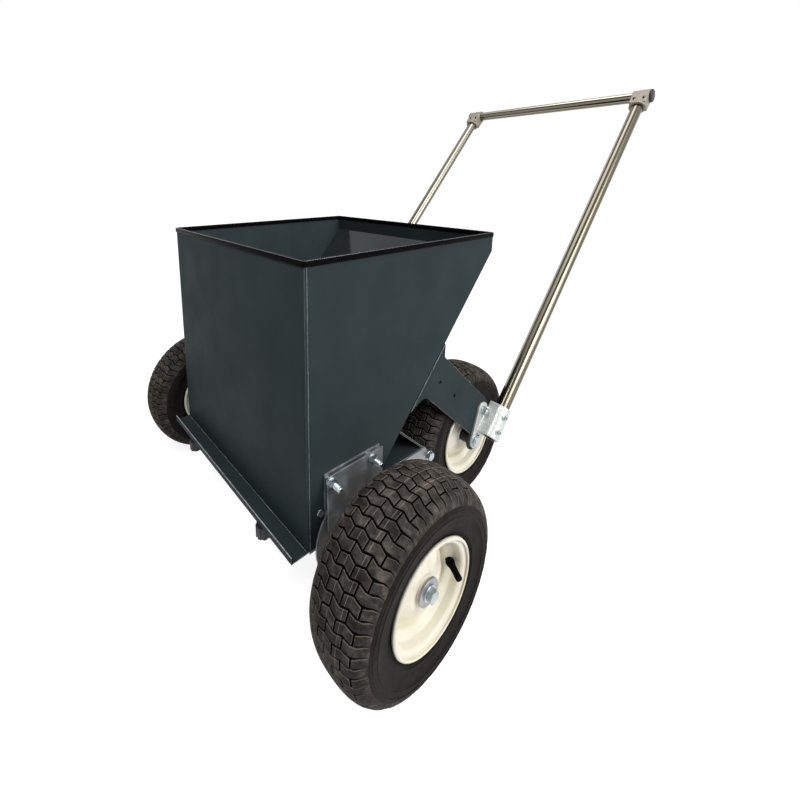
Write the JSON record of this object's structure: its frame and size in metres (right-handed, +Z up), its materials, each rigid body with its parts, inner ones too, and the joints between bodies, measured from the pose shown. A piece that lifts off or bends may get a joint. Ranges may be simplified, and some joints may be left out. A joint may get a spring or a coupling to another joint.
{
  "type": "lawn topdresser",
  "caption": "Walk-behind lawn topdresser with a steel hopper, ground-driven feed roller, sliding gate, pneumatic wheels and a tubular push handle.",
  "frame": {"origin": "on the ground, midway along the length and width of the whole machine", "axes": "+X to the left side of the machine as seen from behind the handle, +Y from the hopper towards the handle, +Z up"},
  "size_m": [0.8962, 1.3804, 1.0488],
  "materials": {
    "anthracite_paint": "satin powder coat",
    "zinc_plate": "bright zinc",
    "cast_fitting": "galvanised casting",
    "stainless_tube": "brushed",
    "roller_steel": "satin",
    "cream_paint": "gloss",
    "tyre": "matte",
    "black_rubber": "satin",
    "black_plastic": "matte"
  },
  "bodies": {
    "frame": {"front_panel": "anthracite_paint", "side_panel_left": "anthracite_paint", "side_panel_right": "anthracite_paint", "rear_panel": "anthracite_paint", "rim_edging": "black_rubber", "cross_member": "anthracite_paint", "arm_left": "anthracite_paint", "arm_right": "anthracite_paint", "chassis_plate_left": "zinc_plate", "chassis_plate_right": "zinc_plate", "bracket_plate_left": "zinc_plate", "bracket_plate_right": "zinc_plate", "bracket_spacers": "zinc_plate", "bracket_bolts": "zinc_plate", "axle_disc_left": "roller_steel", "axle_disc_right": "roller_steel", "axle_bearing_left": "cast_fitting", "axle_bearing_right": "cast_fitting", "tie_tube": "zinc_plate", "tie_bolts": "zinc_plate", "gate_rails": "zinc_plate", "gate_studs": "zinc_plate", "rear_wiper": "black_rubber", "wiper_bar": "zinc_plate", "rear_axle": "zinc_plate", "rear_axle_nuts": "zinc_plate", "rear_axle_spacer": "zinc_plate", "hub_bushings": "black_plastic", "handle_clamp_left": "cast_fitting", "handle_clamp_right": "cast_fitting", "clamp_bolts": "zinc_plate", "clamp_screws": "zinc_plate"},
    "drive": {"front_axle": "zinc_plate", "feed_roller": "roller_steel", "hub_sleeves": "zinc_plate", "wheel_spacers": "zinc_plate", "hub_washers": "zinc_plate", "hub_bolts": "zinc_plate", "front_rim_left": "cream_paint", "front_rim_right": "cream_paint", "front_tyre_left": "tyre", "front_tyre_right": "tyre", "front_valves": "black_rubber"},
    "rear_wheel_left": {"rear_rim_left": "cream_paint", "rear_tyre_left": "tyre", "rear_bearings_left": "zinc_plate", "rear_valve_left": "black_rubber"},
    "rear_wheel_right": {"rear_rim_right": "cream_paint", "rear_tyre_right": "tyre", "rear_bearings_right": "zinc_plate", "rear_valve_right": "black_rubber"},
    "gate": {"gate_plate": "zinc_plate"},
    "gate_knob_left": {"gate_knob_left": "black_plastic"},
    "gate_knob_right": {"gate_knob_right": "black_plastic"},
    "handle": {"upright_left": "stainless_tube", "upright_right": "stainless_tube", "crossbar": "stainless_tube", "corner_fitting_left": "cast_fitting", "corner_fitting_right": "cast_fitting", "fitting_screws": "zinc_plate"}
  },
  "joints": [
    {"name": "front_axle_spin", "type": "hinge", "parent": "frame", "child": "drive", "pos_m": [0, -0.52523, 0.165], "axis": [1, 0, 0], "continuous": true},
    {"name": "rear_wheel_left_spin", "type": "hinge", "parent": "frame", "child": "rear_wheel_left", "pos_m": [0.196, -0.14522, 0.165], "axis": [1, 0, 0], "continuous": true},
    {"name": "rear_wheel_right_spin", "type": "hinge", "parent": "frame", "child": "rear_wheel_right", "pos_m": [-0.196, -0.14522, 0.165], "axis": [1, 0, 0], "continuous": true},
    {"name": "gate_slide", "type": "slide", "parent": "frame", "child": "gate", "axis": [0, -1, 0], "range_m": [0, 0.02]},
    {"name": "gate_knob_left_turn", "type": "hinge", "parent": "frame", "child": "gate_knob_left", "pos_m": [0.158, -0.64923, 0.152], "axis": [0, 0, 1], "range_deg": [0, 360]},
    {"name": "gate_knob_right_turn", "type": "hinge", "parent": "frame", "child": "gate_knob_right", "pos_m": [-0.158, -0.64923, 0.152], "axis": [0, 0, 1], "range_deg": [0, 360]},
    {"name": "handle_height", "type": "slide", "parent": "frame", "child": "handle", "axis": [0, 0.6833, 0.7302], "range_m": [-0.1, 0]}
  ]
}
